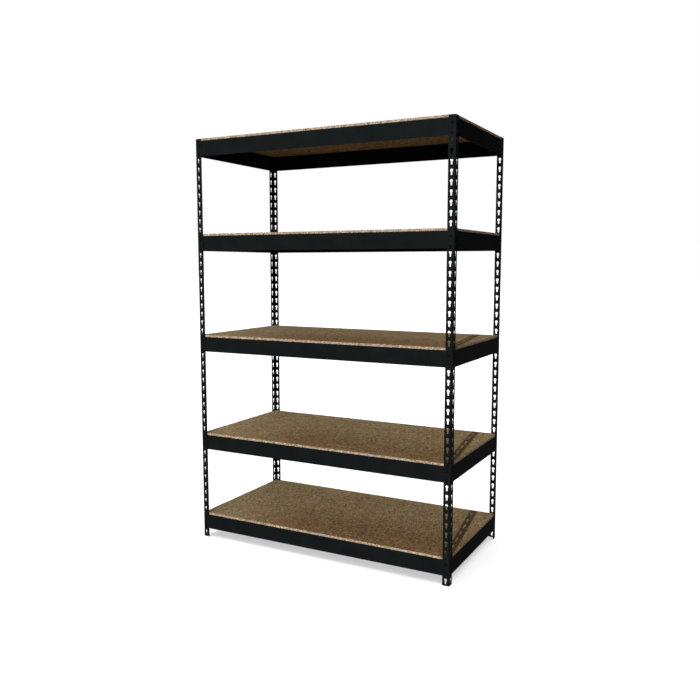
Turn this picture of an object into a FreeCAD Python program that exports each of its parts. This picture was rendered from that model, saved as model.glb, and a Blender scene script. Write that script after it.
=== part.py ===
"""Boltless steel shelving: four keyhole angle posts, five levels of riveted beams, loose decks.

The origin is at the centre of the footprint on the floor. +X runs along the width, the front
faces -Y and +Z is up. Lengths are in millimetres.
"""
import FreeCAD, Part
import os
from types import SimpleNamespace

import Sketcher

# Driving dimensions, one spreadsheet cell each.
SIZES = {
    # Deck: a plain particle board that drops in between the four posts.
    "deck_width": 1219.2,
    "deck_depth": 609.6,
    "deck_thickness": 9.5,
    "deck_gap": 0.8,
    "deck_corner": 3.0,
    # Post: an equal-leg angle with a column of keyholes in each leg.
    "post_height": 1828.8,
    "post_leg": 30.0,
    "post_gauge": 2.0,
    "post_bend": 3.0,
    "keyhole_pitch": 38.1,
    "keyhole_rows": 48,
    "keyhole_inset": 16.0,
    "keyhole_head_radius": 6.0,
    "keyhole_head_rise": 5.5,
    "keyhole_slot_radius": 3.5,
    "keyhole_slot_drop": 8.5,
    # Keyhole row, counted down from 0 at the top, that takes each level's upper rivets.
    "level_1_row": 0,
    "level_2_row": 11,
    "level_3_row": 23,
    "level_4_row": 35,
    "level_5_row": 45,
    # Beam: an angle with a tall web against the post and a top flange under the deck.
    "beam_height": 67.2,
    "beam_rise": 11.0,
    "beam_gauge": 1.8,
    "beam_bend": 2.8,
    "beam_flange": 25.0,
    "beam_end_gap": 2.5,
    "flange_gap": 1.5,
    "face_gap": 0.2,
    # Rivet: button head outside the post, shank through slot and web, upset tail inside.
    "rivet_head_radius": 5.5,
    "rivet_head_height": 2.0,
    "rivet_head_round": 1.2,
    "rivet_shank_radius": 3.1,
    "rivet_hole_radius": 3.2,
    "rivet_tail_radius": 4.6,
    "rivet_tail_height": 1.2,
}
LEVELS = (1, 2, 3, 4, 5)
TINY = 1e-6


class Size:
    """A length with its value and the spreadsheet expression that drives it."""

    def __init__(self, value, text):
        self.value = value
        self.text = text

    def __add__(self, other):
        other = as_size(other)
        return Size(self.value + other.value, f"({self.text} + {other.text})")

    def __sub__(self, other):
        other = as_size(other)
        return Size(self.value - other.value, f"({self.text} - {other.text})")

    def __mul__(self, other):
        other = as_size(other)
        return Size(self.value * other.value, f"({self.text} * {other.text})")

    def __neg__(self):
        return Size(-self.value, f"(-{self.text})")


def as_size(item):
    """Return item as a Size, so that plain numbers mix with driving dimensions."""
    if isinstance(item, Size):
        return item
    return Size(float(item), repr(float(item)))


def fill_sheet(doc):
    """Write the driving dimensions into a sheet and return them as named sizes.

    The overall width and depth, over the outer faces of the posts, follow from the decks.
    """
    sheet = doc.addObject("Spreadsheet::Sheet", "dims")
    for row, (alias, value) in enumerate(SIZES.items(), start=1):
        sheet.set(f"A{row}", alias)
        sheet.set(f"B{row}", str(value))
        sheet.setAlias(f"B{row}", alias)
    doc.recompute()
    dim = SimpleNamespace(**{alias: Size(value, f"dims.{alias}") for alias, value in SIZES.items()})
    around_deck = (dim.post_gauge + dim.deck_gap) * 2
    dim.overall_width = dim.deck_width + around_deck
    dim.overall_depth = dim.deck_depth + around_deck
    return dim


def origin_feature(body, role):
    """Return the body's own origin plane or axis that has this role."""
    return next(item for item in body.Origin.OriginFeatures if item.Role == role)


def new_body(doc, label):
    """Add an empty body whose label names the sub-part."""
    body = doc.addObject("PartDesign::Body", label)
    body.Label = label
    body.AllowCompound = True
    return body


def new_sketch(body, name, role, offset=None):
    """Add a sketch on one of the body's origin planes, moved along its normal by offset."""
    sketch = body.newObject("Sketcher::SketchObject", name)
    sketch.AttachmentSupport = [(origin_feature(body, role), "")]
    sketch.MapMode = "FlatFace"
    if offset is not None:
        sketch.setExpression("AttachmentOffset.Base.z", offset.text)
    return sketch


def constrain(sketch, kind, refs, size):
    """Add a dimension to the sketch and bind it to the sheet."""
    index = sketch.addConstraint(Sketcher.Constraint(kind, *refs, size.value))
    sketch.setExpression(f"Constraints[{index}]", size.text)


def pin_point(sketch, curve, point, x, y):
    """Hold a point of a curve at x, y from the sketch origin."""
    for axis, kind, size in ((-2, "DistanceX", as_size(x)), (-1, "DistanceY", as_size(y))):
        if abs(size.value) < TINY:
            sketch.addConstraint(Sketcher.Constraint("PointOnObject", curve, point, axis))
        else:
            constrain(sketch, kind, (-1, 1, curve, point), size)


def draw_outline(sketch, corners):
    """Draw a closed outline of straight edges with every corner pinned."""
    first = sketch.GeometryCount
    corners = [(as_size(x), as_size(y)) for x, y in corners]
    spots = [FreeCAD.Vector(x.value, y.value, 0) for x, y in corners]
    count = len(spots)
    for index, spot in enumerate(spots):
        sketch.addGeometry(Part.LineSegment(spot, spots[(index + 1) % count]), False)
    for index in range(count):
        following = first + (index + 1) % count
        sketch.addConstraint(Sketcher.Constraint("Coincident", first + index, 2, following, 1))
    for index, (x, y) in enumerate(corners):
        pin_point(sketch, first + index, 1, x, y)


def draw_circles(sketch, centres, radius):
    """Draw one circle of the given radius at each centre."""
    up = FreeCAD.Vector(0, 0, 1)
    for x, y in centres:
        spot = FreeCAD.Vector(as_size(x).value, as_size(y).value, 0)
        curve = sketch.addGeometry(Part.Circle(spot, up, radius.value), False)
        pin_point(sketch, curve, 3, x, y)
        constrain(sketch, "Radius", (curve,), radius)


def draw_keyhole(sketch, dim, across, height):
    """Draw a keyhole: a round head at the top that runs into a narrower slot below."""
    up = FreeCAD.Vector(0, 0, 1)
    head_y = height + dim.keyhole_head_rise
    slot_y = height - dim.keyhole_slot_drop
    head_centre = FreeCAD.Vector(across.value, head_y.value, 0)
    slot_centre = FreeCAD.Vector(across.value, slot_y.value, 0)
    head_radius = dim.keyhole_head_radius.value
    slot_radius = dim.keyhole_slot_radius.value
    neck_drop = (head_radius**2 - slot_radius**2) ** 0.5
    to_left = FreeCAD.Vector(-slot_radius, 0, 0)
    to_right = FreeCAD.Vector(slot_radius, 0, 0)
    to_neck = FreeCAD.Vector(0, -neck_drop, 0)
    neck_left = head_centre + to_neck + to_left
    neck_right = head_centre + to_neck + to_right
    head_top = head_centre + FreeCAD.Vector(0, head_radius, 0)
    slot_bottom = slot_centre + FreeCAD.Vector(0, -slot_radius, 0)

    slot_left = slot_centre + to_left
    slot_right = slot_centre + to_right

    head = sketch.addGeometry(Part.Arc(neck_right, head_top, neck_left), False)
    left = sketch.addGeometry(Part.LineSegment(neck_left, slot_left), False)
    slot = sketch.addGeometry(Part.Arc(slot_left, slot_bottom, slot_right), False)
    right = sketch.addGeometry(Part.LineSegment(slot_right, neck_right), False)

    pin_point(sketch, head, 3, across, head_y)
    constrain(sketch, "Radius", (head,), dim.keyhole_head_radius)
    pin_point(sketch, slot, 3, across, slot_y)
    constrain(sketch, "Radius", (slot,), dim.keyhole_slot_radius)
    sketch.addConstraint(Sketcher.Constraint("Vertical", left))
    sketch.addConstraint(Sketcher.Constraint("Vertical", right))
    sketch.addConstraint(Sketcher.Constraint("Coincident", head, 2, left, 1))
    sketch.addConstraint(Sketcher.Constraint("Coincident", right, 2, head, 1))
    sketch.addConstraint(Sketcher.Constraint("Tangent", left, 2, slot, 1))
    sketch.addConstraint(Sketcher.Constraint("Tangent", slot, 2, right, 1))


def add_pad(body, name, sketch, length, symmetric=False, backwards=False):
    """Grow the sketch into a solid along its normal, against it, or evenly both ways."""
    pad = body.newObject("PartDesign::Pad", name)
    pad.Profile = sketch
    pad.SideType = "Symmetric" if symmetric else "One side"
    pad.Reversed = backwards
    pad.setExpression("Length", length.text)
    body.Document.recompute()
    return pad


def add_pocket(body, name, sketch, length):
    """Cut the sketch evenly to both sides of its plane and make sure that it bites."""
    before = body.Shape.Volume
    pocket = body.newObject("PartDesign::Pocket", name)
    pocket.Profile = sketch
    pocket.SideType = "Symmetric"
    pocket.setExpression("Length", length.text)
    body.Document.recompute()
    if body.Shape.Volume > before - TINY:
        raise RuntimeError(f"{body.Label}: {name} cuts nothing")
    return pocket


def add_fillet(body, name, base, is_wanted, radius):
    """Round every edge of the base feature that is_wanted accepts."""
    edges = base.Shape.Edges
    names = [f"Edge{index}" for index, edge in enumerate(edges, start=1) if is_wanted(edge)]
    if not names:
        raise RuntimeError(f"{body.Label}: {name} finds no edge")
    fillet = body.newObject("PartDesign::Fillet", name)
    fillet.Base = (base, names)
    fillet.setExpression("Radius", radius.text)
    body.Document.recompute()
    return fillet


def runs_along(edge, axis):
    """Say whether an edge is straight and parallel to the axis."""
    if not isinstance(edge.Curve, Part.Line):
        return False
    return abs(abs(edge.Curve.Direction.dot(axis)) - 1.0) < TINY


def edge_at(axis, **place):
    """Return a test for edges along the axis whose centre has the given coordinates."""

    def is_wanted(edge):
        centre = edge.CenterOfMass
        near = all(abs(getattr(centre, name) - size.value) < 1e-3 for name, size in place.items())
        return near and runs_along(edge, axis)

    return is_wanted


def place(body, turn, x=None, y=None, z=None):
    """Turn the body about +Z by whole quarter turns and bind its position to the sheet."""
    spin = FreeCAD.Rotation(FreeCAD.Vector(0, 0, 1), 90.0 * turn)
    body.Placement = FreeCAD.Placement(FreeCAD.Vector(0, 0, 0), spin)
    for name, size in (("x", x), ("y", y), ("z", z)):
        if size is not None:
            body.setExpression(f"Placement.Base.{name}", size.text)


def row_height(dim, level):
    """Return the height of the centre of the keyhole row that takes a level's upper rivets."""
    row = getattr(dim, f"level_{level}_row")
    return dim.post_height - (row + 0.5) * dim.keyhole_pitch


def make_post(doc, dim, label, turn, x, y):
    """Make a post: a rolled angle with its outer corner on the origin and keyholed legs."""
    body = new_body(doc, label)
    section = new_sketch(body, f"{label}_section", "XY_Plane")
    leg = dim.post_leg
    gauge = dim.post_gauge
    draw_outline(section, [(0, 0), (leg, 0), (leg, gauge), (gauge, gauge), (gauge, leg), (0, leg)])
    angle = add_pad(body, f"{label}_angle", section, dim.post_height)

    along = FreeCAD.Vector(0, 0, 1)
    zero = as_size(0)
    outer = add_fillet(body, f"{label}_outer_bend", angle, edge_at(along, x=zero, y=zero), dim.post_bend)
    inner_test = edge_at(along, x=gauge, y=gauge)
    add_fillet(body, f"{label}_inner_bend", outer, inner_test, dim.post_bend - gauge)

    keyholes = []
    for name, role in (("front_keyhole", "XZ_Plane"), ("side_keyhole", "YZ_Plane")):
        sketch = new_sketch(body, f"{label}_{name}_outline", role)
        draw_keyhole(sketch, dim, dim.keyhole_inset, dim.keyhole_pitch * 0.5)
        keyholes.append(add_pocket(body, f"{label}_{name}", sketch, gauge * 4))

    column = body.newObject("PartDesign::LinearPattern", f"{label}_keyhole_column")
    column.Originals = keyholes
    column.Direction = (origin_feature(body, "Z_Axis"), [""])
    column.Mode = "Extent"
    column.setExpression("Length", (dim.keyhole_pitch * (dim.keyhole_rows - 1)).text)
    column.setExpression("Occurrences", dim.keyhole_rows.text)
    body.Tip = column
    place(body, turn, x, y)
    return body


def rivet_centres(dim, half_span):
    """Return where a beam's rivets sit, two at each end, in the plane of its web."""
    upper = -dim.keyhole_slot_drop
    lower = upper - dim.keyhole_pitch
    return [(side, height) for side in (half_span, -half_span) for height in (upper, lower)]


def make_beam(doc, dim, label, span, trimmed):
    """Make a beam along X: the web's outer face at y = 0, the upper keyhole row at z = 0.

    The side beams' flanges are trimmed so that they end short of the long beams' flanges.
    """
    body = new_body(doc, label)
    gauge = dim.beam_gauge
    flange = dim.beam_flange
    top = dim.beam_rise
    bottom = top - dim.beam_height
    section = new_sketch(body, f"{label}_section", "YZ_Plane")
    corners = [(0, bottom), (gauge, bottom), (gauge, top - gauge)]
    corners += [(flange, top - gauge), (flange, top), (0, top)]
    draw_outline(section, corners)
    corner_stack = dim.post_gauge + dim.face_gap
    web_length = span - (corner_stack + gauge + dim.beam_end_gap) * 2
    angle = add_pad(body, f"{label}_angle", section, web_length, symmetric=True)

    along = FreeCAD.Vector(1, 0, 0)
    outer_test = edge_at(along, y=as_size(0), z=top)
    outer = add_fillet(body, f"{label}_outer_bend", angle, outer_test, dim.beam_bend)
    inner_test = edge_at(along, y=gauge, z=top - gauge)
    add_fillet(body, f"{label}_inner_bend", outer, inner_test, dim.beam_bend - gauge)

    if trimmed:
        inside = span * 0.5 - (corner_stack + flange + dim.flange_gap)
        outside = span * 0.5
        notches = new_sketch(body, f"{label}_flange_trim_outline", "XY_Plane")
        for near, far in ((inside, outside), (-outside, -inside)):
            reach = flange * 2
            bend = dim.beam_bend
            draw_outline(notches, [(near, bend), (far, bend), (far, reach), (near, reach)])
        add_pocket(body, f"{label}_flange_trim", notches, top * 4)

    holes = new_sketch(body, f"{label}_rivet_hole_outline", "XZ_Plane")
    draw_circles(holes, rivet_centres(dim, span * 0.5 - dim.keyhole_inset), dim.rivet_hole_radius)
    add_pocket(body, f"{label}_rivet_holes", holes, gauge * 4)
    return body


def make_rivets(doc, dim, label, span):
    """Make the four rivets of a beam, in the beam's own position, as separate solids."""
    body = new_body(doc, label)
    centres = rivet_centres(dim, span * 0.5 - dim.keyhole_inset)
    under_head = dim.post_gauge + dim.face_gap * 2

    head_outline = new_sketch(body, f"{label}_head_outline", "XZ_Plane", under_head)
    draw_circles(head_outline, centres, dim.rivet_head_radius)
    heads = add_pad(body, f"{label}_heads", head_outline, dim.rivet_head_height)
    head_face = -(under_head + dim.rivet_head_height)

    def is_head_rim(edge):
        return abs(edge.CenterOfMass.y - head_face.value) < 1e-3

    add_fillet(body, f"{label}_head_round", heads, is_head_rim, dim.rivet_head_round)

    shank_outline = new_sketch(body, f"{label}_shank_outline", "XZ_Plane", under_head)
    draw_circles(shank_outline, centres, dim.rivet_shank_radius)
    shank_length = under_head + dim.beam_gauge
    add_pad(body, f"{label}_shanks", shank_outline, shank_length, backwards=True)

    tail_outline = new_sketch(body, f"{label}_tail_outline", "XZ_Plane", -dim.beam_gauge)
    draw_circles(tail_outline, centres, dim.rivet_tail_radius)
    add_pad(body, f"{label}_tails", tail_outline, dim.rivet_tail_height, backwards=True)
    return body


def make_deck(doc, dim, label):
    """Make a deck: a flat board, centred, with its underside at z = 0 and eased corners."""
    body = new_body(doc, label)
    x = dim.deck_width * 0.5
    y = dim.deck_depth * 0.5
    outline = new_sketch(body, f"{label}_outline", "XY_Plane")
    draw_outline(outline, [(-x, -y), (x, -y), (x, y), (-x, y)])
    board = add_pad(body, f"{label}_board", outline, dim.deck_thickness)
    up = FreeCAD.Vector(0, 0, 1)
    add_fillet(body, f"{label}_corners", board, lambda edge: runs_along(edge, up), dim.deck_corner)
    return body


def make_posts(doc, dim):
    """Make the four posts, the same angle turned a quarter turn from corner to corner."""
    x = dim.overall_width * 0.5
    y = dim.overall_depth * 0.5
    corners = {
        "post_front_left": (-x, -y),
        "post_front_right": (x, -y),
        "post_rear_right": (x, y),
        "post_rear_left": (-x, y),
    }
    return [make_post(doc, dim, label, turn, *spot) for turn, (label, spot) in enumerate(corners.items())]


def make_level(doc, dim, level):
    """Make a level: four beams against the insides of the posts, their rivets and a deck."""
    inset = dim.post_gauge + dim.face_gap
    half_width = dim.overall_width * 0.5 - inset
    half_depth = dim.overall_depth * 0.5 - inset
    height = row_height(dim, level)
    sides = {
        "front": (dim.overall_width, None, -half_depth),
        "right": (dim.overall_depth, half_width, None),
        "rear": (dim.overall_width, None, half_depth),
        "left": (dim.overall_depth, -half_width, None),
    }
    bodies = []
    for turn, (side, (span, x, y)) in enumerate(sides.items()):
        stem = f"shelf_{level}_{side}"
        beam = make_beam(doc, dim, f"{stem}_beam", span, trimmed=side in ("left", "right"))
        rivets = make_rivets(doc, dim, f"{stem}_rivets", span)
        for body in (beam, rivets):
            place(body, turn, x, y, height)
            bodies.append(body)
    deck = make_deck(doc, dim, f"deck_{level}")
    place(deck, 0, z=height + dim.beam_rise)
    return bodies + [deck]


def check(doc, bodies):
    """Stop if any feature failed or any sub-part is missing or broken."""
    for item in doc.Objects:
        if "Invalid" in item.State or "Error" in item.State:
            raise RuntimeError(f"{item.Label} failed: {item.State}")
    for body in bodies:
        if body.Shape.isNull() or not body.Shape.isValid():
            raise RuntimeError(f"{body.Label} has no valid shape")


def main():
    doc = FreeCAD.newDocument("BoltlessShelving")
    dim = fill_sheet(doc)
    bodies = make_posts(doc, dim)
    for level in LEVELS:
        bodies += make_level(doc, dim, level)
    doc.recompute()
    check(doc, bodies)

    os.makedirs("parts", exist_ok=True)
    for body in bodies:
        body.Shape.exportStep(f"parts/{body.Label}.step")
        box = body.Shape.BoundBox
        print(f"{body.Label:26s} solids {len(body.Shape.Solids)}  volume {body.Shape.Volume:12.1f}  "
              f"z {box.ZMin:8.2f} to {box.ZMax:8.2f}")


main()
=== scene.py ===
import math
import random

import bmesh
import bpy
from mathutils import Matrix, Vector, noise


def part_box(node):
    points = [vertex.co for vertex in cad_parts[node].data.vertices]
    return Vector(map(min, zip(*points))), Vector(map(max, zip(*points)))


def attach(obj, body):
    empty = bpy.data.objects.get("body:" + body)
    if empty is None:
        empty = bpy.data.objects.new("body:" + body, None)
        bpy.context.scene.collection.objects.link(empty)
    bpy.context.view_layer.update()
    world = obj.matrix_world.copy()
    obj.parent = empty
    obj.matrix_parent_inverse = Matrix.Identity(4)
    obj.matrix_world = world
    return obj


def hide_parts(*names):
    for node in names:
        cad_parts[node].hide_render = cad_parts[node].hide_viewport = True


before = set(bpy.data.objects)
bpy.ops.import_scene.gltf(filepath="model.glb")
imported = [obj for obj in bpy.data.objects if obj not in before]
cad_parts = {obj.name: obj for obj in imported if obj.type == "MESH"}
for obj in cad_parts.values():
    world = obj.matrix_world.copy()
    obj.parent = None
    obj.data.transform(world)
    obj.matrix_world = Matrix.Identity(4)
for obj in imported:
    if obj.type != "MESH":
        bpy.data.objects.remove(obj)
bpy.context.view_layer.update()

LEVELS = (1, 2, 3, 4, 5)
SIDES = ("front", "right", "rear", "left")
POSTS = ("post_front_left", "post_front_right", "post_rear_right", "post_rear_left")
BEAMS = [f"shelf_{level}_{side}_beam" for level in LEVELS for side in SIDES]
RIVETS = [f"shelf_{level}_{side}_rivets" for level in LEVELS for side in SIDES]

# How dark each board is beside the others.
BOARD_SHADES = {1: 1.07, 2: 1.07, 3: 1.07, 4: 1.07, 5: 1.01}

# Camera: where it stands and how it looks at the rack, in metres and degrees.
CAMERA_PLACE = (1.6025, -3.0293, 1.2732)
CAMERA_TURN = 27.814
CAMERA_DIP = 6.469
CAMERA_LENS = 38.706
CAMERA_SENSOR = 36.0

# Light: a low, slightly soft key from the front and a weak even fill.
KEY_TRAVEL = (-0.134, 0.905, -0.404)
KEY_STRENGTH = 2.9
KEY_SOFTNESS = 0.15
RIM_TRAVEL = (0.50, -0.80, -0.33)
RIM_STRENGTH = 1.6
RIM_SOFTNESS = 60.0
FILL_FROM = (-0.40, -0.35, 0.85)
FILL_STRENGTH = 0.86
FILL_FALLOFF = 4.0
FLOOR_LIGHT_STRENGTH = 1.0
FLOOR_GLOW_STRENGTH = 2.45
FLOOR_LIGHT_SOFTNESS = 80.0
FLOOR_HALF_SIZE = 60.0


class NodeTree:
    """A shader tree that is built up with short calls."""

    def __init__(self, material):
        self.tree = material.node_tree
        self.tree.nodes.clear()

    def add(self, kind, **settings):
        """Add a node: upper-case-first keys set inputs by name, others set properties."""
        node = self.tree.nodes.new(kind)
        for key, value in settings.items():
            name = key.replace("_", " ")
            if key[0].isupper():
                self.feed(node, name, value)
            else:
                setattr(node, key, value)
        return node

    def feed(self, node, name, value):
        """Link a socket to a node's input, or set the input's own value."""
        if isinstance(value, bpy.types.NodeSocket):
            self.tree.links.new(value, node.inputs[name])
        else:
            node.inputs[name].default_value = value

    def position(self):
        """Return the place on the object, in metres."""
        return self.add("ShaderNodeTexCoord").outputs["Object"]

    def stretch(self, vector, scale, rotation=(0.0, 0.0, 0.0)):
        """Return the vector turned and scaled along each axis."""
        mapping = self.add("ShaderNodeMapping", Vector=vector)
        mapping.inputs["Scale"].default_value = scale
        mapping.inputs["Rotation"].default_value = rotation
        return mapping.outputs["Vector"]

    def noise(self, vector, scale, detail=3.0, roughness=0.5):
        """Return fractal noise around 0.5."""
        node = self.add("ShaderNodeTexNoise", Vector=vector, Scale=scale, Detail=detail, Roughness=roughness)
        return node.outputs["Fac"]

    def ramp(self, value, stops):
        """Return a colour looked up in (place, colour) stops."""
        node = self.add("ShaderNodeValToRGB", Fac=value)
        elements = node.color_ramp.elements
        while len(elements) < len(stops):
            elements.new(1.0)
        for element, (place, colour) in zip(elements, stops):
            element.position = place
            element.color = (*colour, 1.0)
        return node.outputs["Color"]

    def rescale(self, value, low, high, new_low, new_high):
        """Return value moved from one range to another and held inside it."""
        node = self.add("ShaderNodeMapRange", Value=value)
        node.inputs["From Min"].default_value = low
        node.inputs["From Max"].default_value = high
        node.inputs["To Min"].default_value = new_low
        node.inputs["To Max"].default_value = new_high
        return node.outputs["Result"]

    def mix(self, factor, first, second, blend="MIX"):
        """Return two colours mixed."""
        node = self.add("ShaderNodeMix", data_type="RGBA", blend_type=blend)
        for index, value in ((0, factor), (6, first), (7, second)):
            socket = node.inputs[index]
            if isinstance(value, bpy.types.NodeSocket):
                self.tree.links.new(value, socket)
            elif index == 0:
                socket.default_value = value
            else:
                socket.default_value = (*value, 1.0)
        return node.outputs[2]

    def math(self, operation, first, second):
        """Return a sum, product or other function of two values."""
        node = self.add("ShaderNodeMath", operation=operation)
        for index, value in enumerate((first, second)):
            if isinstance(value, bpy.types.NodeSocket):
                self.tree.links.new(value, node.inputs[index])
            else:
                node.inputs[index].default_value = value
        return node.outputs[0]

    def bump(self, height, distance, strength=1.0):
        """Return a normal from a height."""
        node = self.add("ShaderNodeBump", Height=height, Distance=distance, Strength=strength)
        return node.outputs["Normal"]

    def finish(self, **settings):
        """Add the surface shader and the output."""
        shader = self.add("ShaderNodeBsdfPrincipled", **settings)
        output = self.add("ShaderNodeOutputMaterial")
        self.tree.links.new(shader.outputs["BSDF"], output.inputs["Surface"])


def new_material(name):
    material = bpy.data.materials.new(name)
    material.use_nodes = True
    return material


def powder_coat(name, dark, light, roughness):
    """Black powder coat: faint mottling, orange peel and fine dust in the gloss."""
    material = new_material(name)
    tree = NodeTree(material)
    place = tree.position()
    mottle = tree.noise(place, 14.0, 4.0, 0.6)
    peel = tree.noise(place, 420.0, 2.0, 0.5)
    grit = tree.noise(place, 1600.0, 1.0, 0.5)
    colour = tree.ramp(tree.rescale(mottle, 0.3, 0.7, 0.0, 1.0), [(0.0, dark), (1.0, light)])
    gloss = tree.rescale(mottle, 0.3, 0.7, roughness - 0.05, roughness + 0.05)
    height = tree.math("ADD", peel, tree.math("MULTIPLY", grit, 0.35))
    tree.finish(
        Base_Color=colour,
        Roughness=gloss,
        Specular_IOR_Level=0.05,
        Normal=tree.bump(height, 0.00012, 0.6),
    )
    return material


def chipboard_face(name, shade):
    """Raw particle board face: pressed flakes of many browns, fine dust and a few dark chips.

    Each board carries painted shade: darker and warmer towards the front in its middle and right part,
    and darker towards the rear at its left end; random patches vary the tone. The shade scales the whole
    board.
    """
    material = new_material(name)
    tree = NodeTree(material)
    place = tree.position()
    warp = tree.add("ShaderNodeTexNoise", Vector=place, Scale=60.0, Detail=2.0)
    wander = tree.add("ShaderNodeVectorMath", operation="SCALE", Scale=0.010)
    tree.tree.links.new(warp.outputs["Color"], wander.inputs[0])
    moved = tree.add("ShaderNodeVectorMath", operation="ADD")
    tree.tree.links.new(place, moved.inputs[0])
    tree.tree.links.new(wander.outputs[0], moved.inputs[1])
    warped = moved.outputs[0]

    def flake_shade(scale, stretch, turn, channel):
        cells = tree.stretch(warped, stretch, (0.0, 0.0, math.radians(turn)))
        voronoi = tree.add("ShaderNodeTexVoronoi", Vector=cells, Scale=scale)
        return tree.add("ShaderNodeSeparateColor", Color=voronoi.outputs["Color"]).outputs[channel]

    coarse = flake_shade(90.0, (1.7, 0.8, 1.0), 20.0, 0)
    cross = flake_shade(115.0, (1.6, 0.7, 1.0), -25.0, 1)
    fine = flake_shade(300.0, (1.2, 0.9, 1.0), 50.0, 2)
    browns = [
        (0.0, (0.075, 0.042, 0.017)),
        (0.2, (0.215, 0.142, 0.066)),
        (0.55, (0.335, 0.234, 0.117)),
        (0.85, (0.460, 0.335, 0.182)),
        (1.0, (0.760, 0.590, 0.360)),
    ]
    colour = tree.mix(0.5, tree.ramp(coarse, browns), tree.ramp(cross, browns))
    colour = tree.mix(0.38, colour, tree.ramp(fine, browns))

    parts = tree.add("ShaderNodeSeparateXYZ", Vector=place)
    # Painted shade: darker and warmer towards the front across the middle and right; the noise patch adds
    # random tone.
    across = tree.rescale(parts.outputs["X"], -0.50, -0.12, 0.0, 1.0)
    forward = tree.rescale(parts.outputs["Y"], -0.20, 0.05, 1.0, 0.20)
    patch = tree.rescale(tree.noise(place, 3.5, 3.0, 0.55), 0.3, 0.7, -0.15, 0.15)
    painted_shade_and_patch = tree.math("ADD", tree.math("MULTIPLY", across, forward), patch)
    tint = tree.ramp(painted_shade_and_patch, [(0.0, (1.0, 1.0, 1.0)), (1.0, (0.62, 0.53, 0.45))])
    colour = tree.mix(1.0, colour, tint, "MULTIPLY")
    # Painted shade: the left end grows darker towards the rear; the board's own shade scales the rest.
    dim = tree.rescale(parts.outputs["Y"], -0.20, 0.24, 0.07, 0.24)
    left = tree.math("SUBTRACT", 1.0, across)
    tone_and_painted_shade = tree.math("SUBTRACT", shade, tree.math("MULTIPLY", left, dim))
    colour = tree.mix(1.0, colour, tree.add("ShaderNodeCombineColor", Red=tone_and_painted_shade, Green=tone_and_painted_shade, Blue=tone_and_painted_shade).outputs[0], "MULTIPLY")
    hue = tree.rescale(tree.noise(place, 16.0, 2.0, 0.5), 0.35, 0.65, 0.0, 1.0)
    cast = tree.ramp(hue, [(0.0, (1.03, 0.98, 1.00)), (1.0, (0.98, 1.02, 0.97))])
    colour = tree.mix(1.0, colour, cast, "MULTIPLY")

    grain = tree.stretch(warped, (1.25, 0.6, 1.0))
    speck = tree.add("ShaderNodeTexVoronoi", Vector=grain, Scale=75.0)
    spread = tree.rescale(speck.outputs["Distance"], 0.18, 0.34, 0.90, 0.0)
    drawn = tree.add("ShaderNodeSeparateColor", Color=speck.outputs["Color"]).outputs[0]
    dark = tree.math("MULTIPLY", spread, tree.math("GREATER_THAN", drawn, 0.62))
    colour = tree.mix(dark, colour, (0.045, 0.030, 0.018))
    pale = tree.math("MULTIPLY", spread, tree.math("LESS_THAN", drawn, 0.14))
    colour = tree.mix(pale, colour, (0.46, 0.37, 0.24))

    dust = tree.noise(place, 900.0, 2.0, 0.6)
    height = tree.math("ADD", tree.math("MULTIPLY", coarse, 0.4), dust)
    tree.finish(
        Base_Color=colour,
        Roughness=tree.rescale(dust, 0.3, 0.7, 0.72, 0.88),
        Specular_IOR_Level=0.15,
        Normal=tree.bump(height, 0.0002, 0.5),
    )
    return material


def chipboard_edge(name):
    """Sawn particle board edge: pale coarse chips lying flat, with small voids darkened by painted shade."""
    material = new_material(name)
    tree = NodeTree(material)
    place = tree.position()
    flat = tree.stretch(place, (1.0, 1.0, 3.0))
    chips = tree.add("ShaderNodeTexVoronoi", Vector=flat, Scale=260.0)
    value = tree.add("ShaderNodeSeparateColor", Color=chips.outputs["Color"]).outputs[0]
    colour = tree.ramp(value, [
        (0.0, (0.10, 0.062, 0.036)),
        (0.3, (0.31, 0.215, 0.142)),
        (0.7, (0.54, 0.405, 0.280)),
        (1.0, (0.92, 0.760, 0.580)),
    ])
    streak = tree.rescale(tree.noise(place, 120.0, 2.0, 0.6), 0.35, 0.65, 0.0, 1.0)
    tone = tree.ramp(streak, [(0.0, (0.76, 0.72, 0.68)), (1.0, (1.27, 1.30, 1.35))])
    colour = tree.mix(1.0, colour, tone, "MULTIPLY")
    # Painted shade: small voids are darkened in colour and dented in the bump.
    voids = tree.noise(flat, 240.0, 2.0, 0.6)
    void_shade_mask = tree.rescale(voids, 0.57, 0.66, 0.0, 0.90)
    colour = tree.mix(void_shade_mask, colour, (0.07, 0.04, 0.024))
    height = tree.math("SUBTRACT", value, void_shade_mask)
    tree.finish(
        Base_Color=colour,
        Roughness=0.85,
        Specular_IOR_Level=0.2,
        Normal=tree.bump(height, 0.0004, 0.7),
    )
    return material


def pale_floor(name):
    """Pale floor that looks white to the camera but throws little light back up."""
    material = new_material(name)
    tree = NodeTree(material)
    seen = tree.add("ShaderNodeLightPath").outputs["Is Camera Ray"]
    colour = tree.mix(seen, (0.066, 0.060, 0.062), (0.93, 0.93, 0.93))
    tree.finish(Base_Color=colour, Roughness=1.0, Specular_IOR_Level=0.0)
    return material


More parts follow.
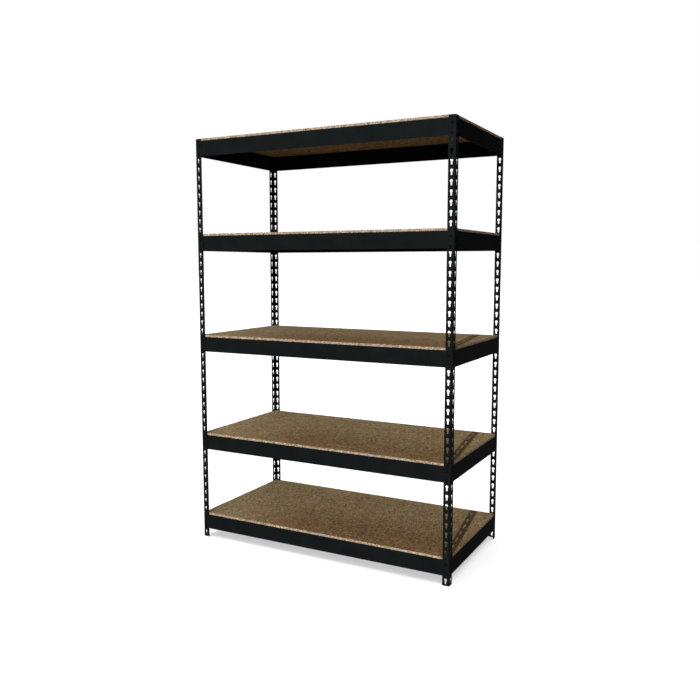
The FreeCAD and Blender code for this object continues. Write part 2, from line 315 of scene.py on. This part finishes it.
def make_deck(level, face, edge):
    """A board with sawn edges: the arris wanders and loses small chips, the faces are flat."""
    node = f"deck_{level}"
    low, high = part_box(node)
    rng = random.Random(level)
    seed = Vector((rng.uniform(0, 50), rng.uniform(0, 50), rng.uniform(0, 50)))
    corner = 0.003
    step = 0.006
    arc_steps = 3
    half_x = (high[0] - low[0]) / 2
    half_y = (high[1] - low[1]) / 2
    path = []
    quarters = ((1, -1, -90), (1, 1, 0), (-1, 1, 90), (-1, -1, 180))
    for index, (sx, sy, start) in enumerate(quarters):
        centre = Vector((sx * (half_x - corner), sy * (half_y - corner)))
        for part in range(arc_steps + 1):
            angle = math.radians(start + 90 * part / arc_steps)
            outward = Vector((math.cos(angle), math.sin(angle)))
            path.append((centre + corner * outward, outward))
        nx, ny, _ = quarters[(index + 1) % 4]
        begin = path[-1][0]
        turn = math.radians(start + 90)
        outward = Vector((math.cos(turn), math.sin(turn)))
        end = Vector((nx * (half_x - corner), ny * (half_y - corner))) + corner * outward
        count = max(2, round((end - begin).length / step))
        for part in range(1, count):
            path.append((begin.lerp(end, part / count), outward))

    mesh = bpy.data.meshes.new(f"deck_board_{level}")
    work = bmesh.new()
    depth = high[2] - low[2]
    shares = (0.0, 0.05, 0.2, 0.4, 0.6, 0.8, 0.95, 1.0)
    rings = []
    for share in shares:
        ring = []
        for spot, outward in path:
            z = low[2] + depth * share
            here = Vector((spot.x, spot.y, z))
            rough = 0.5 + 0.5 * noise.noise(here * 140 + seed)
            inset = 0.00035 * rough
            if share in (0.0, 1.0):
                chip = max(0.0, noise.noise(here * 70 + seed * 2) - 0.25)
                inset = 0.0005 + 0.0003 * rough + 0.0022 * chip
            ring.append(work.verts.new((spot.x - outward.x * inset, spot.y - outward.y * inset, z)))
        rings.append(ring)
    count = len(path)
    for lower, upper in zip(rings, rings[1:]):
        for index in range(count):
            following = (index + 1) % count
            quad = work.faces.new((lower[index], lower[following], upper[following], upper[index]))
            quad.material_index = 1
    work.faces.new(rings[-1])
    work.faces.new(list(reversed(rings[0])))
    work.normal_update()
    work.to_mesh(mesh)
    work.free()
    mesh.materials.append(face)
    mesh.materials.append(edge)
    board = bpy.data.objects.new(f"deck_board_{level}", mesh)
    bpy.context.scene.collection.objects.link(board)
    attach(board, node)
    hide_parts(node)
    return board


def coat_node(name, material):
    """Give a CAD node its material."""
    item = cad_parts[name]
    for slot in item.material_slots:
        slot.material = material
    return item


def add_sun(name, travel, strength, softness, receivers, shadow=True):
    """Add a distant light that shines along travel on the receivers only."""
    lit = bpy.data.collections.new(f"lit_by_{name}")
    for receiver in receivers:
        lit.objects.link(receiver)
    light = bpy.data.lights.new(name, "SUN")
    light.energy = strength
    light.use_shadow = shadow
    light.angle = math.radians(softness)
    item = bpy.data.objects.new(name, light)
    item.rotation_euler = Vector(travel).to_track_quat("-Z", "Y").to_euler()
    item.light_linking.receiver_collection = lit
    bpy.context.scene.collection.objects.link(item)


def make_stage(steel, boards):
    """Floor, key, fill and the light that only the floor receives."""
    scene = bpy.context.scene
    mesh = bpy.data.meshes.new("floor")
    reach = FLOOR_HALF_SIZE
    mesh.from_pydata([(-reach, -reach, 0), (reach, -reach, 0), (reach, reach, 0), (-reach, reach, 0)], [], [(0, 1, 2, 3)])
    floor = bpy.data.objects.new("floor", mesh)
    mesh.materials.append(pale_floor("pale_floor"))
    scene.collection.objects.link(floor)

    add_sun("key", KEY_TRAVEL, KEY_STRENGTH, KEY_SOFTNESS, [*steel, *boards])
    add_sun("rim", RIM_TRAVEL, RIM_STRENGTH, RIM_SOFTNESS, steel)
    add_sun("floor_light", (0.0, 0.0, -1.0), FLOOR_LIGHT_STRENGTH, FLOOR_LIGHT_SOFTNESS, [floor])
    add_sun("floor_glow", (0.0, 0.0, -1.0), FLOOR_GLOW_STRENGTH, FLOOR_LIGHT_SOFTNESS, [floor], False)

    world = bpy.data.worlds.new("studio")
    scene.world = world
    world.use_nodes = True
    nodes = world.node_tree.nodes
    nodes.clear()
    links = world.node_tree.links
    output = nodes.new("ShaderNodeOutputWorld")
    background = nodes.new("ShaderNodeBackground")
    background.inputs["Color"].default_value = (1.0, 1.0, 1.0, 1.0)
    direction = nodes.new("ShaderNodeTexCoord")
    facing = nodes.new("ShaderNodeVectorMath")
    facing.operation = "DOT_PRODUCT"
    facing.inputs[1].default_value = Vector(FILL_FROM).normalized()
    links.new(direction.outputs["Generated"], facing.inputs[0])
    half = nodes.new("ShaderNodeMapRange")
    half.inputs["From Min"].default_value = -1.0
    links.new(facing.outputs["Value"], half.inputs["Value"])
    falloff = nodes.new("ShaderNodeMath")
    falloff.operation = "POWER"
    falloff.inputs[1].default_value = FILL_FALLOFF
    links.new(half.outputs["Result"], falloff.inputs[0])
    fill = nodes.new("ShaderNodeMath")
    fill.operation = "MULTIPLY"
    fill.inputs[1].default_value = FILL_STRENGTH
    links.new(falloff.outputs[0], fill.inputs[0])
    path = nodes.new("ShaderNodeLightPath")
    strength = nodes.new("ShaderNodeMapRange")
    strength.inputs["To Max"].default_value = 1.0
    links.new(path.outputs["Is Camera Ray"], strength.inputs["Value"])
    links.new(fill.outputs[0], strength.inputs["To Min"])
    links.new(strength.outputs["Result"], background.inputs["Strength"])
    links.new(background.outputs["Background"], output.inputs["Surface"])
    scene.view_settings.view_transform = "Standard"


def make_camera():
    """Camera at the photograph's viewing angle."""
    camera = bpy.data.cameras.new("camera")
    camera.lens = CAMERA_LENS
    camera.sensor_width = CAMERA_SENSOR
    camera.clip_end = 200.0
    item = bpy.data.objects.new("camera", camera)
    item.location = CAMERA_PLACE
    item.rotation_euler = (math.radians(90 - CAMERA_DIP), 0.0, math.radians(CAMERA_TURN))
    bpy.context.scene.collection.objects.link(item)
    bpy.context.scene.camera = item


make_camera()
post_coat = powder_coat("post_coat", (0.0062, 0.0080, 0.0080), (0.0090, 0.0112, 0.0110), 0.38)
beam_coat = powder_coat("beam_coat", (0.0058, 0.0078, 0.0077), (0.0083, 0.0107, 0.0107), 0.42)
rivet_coat = powder_coat("rivet_coat", (0.0030, 0.0036, 0.0036), (0.0050, 0.0058, 0.0058), 0.34)
board_edge = chipboard_edge("board_edge")
steel = []
for names, coat in ((POSTS, post_coat), (BEAMS, beam_coat), (RIVETS, rivet_coat)):
    steel.extend(coat_node(name, coat) for name in names)
boards = []
for level in LEVELS:
    board_face = chipboard_face(f"board_face_{level}", BOARD_SHADES[level])
    boards.append(make_deck(level, board_face, board_edge))
make_stage(steel, boards)
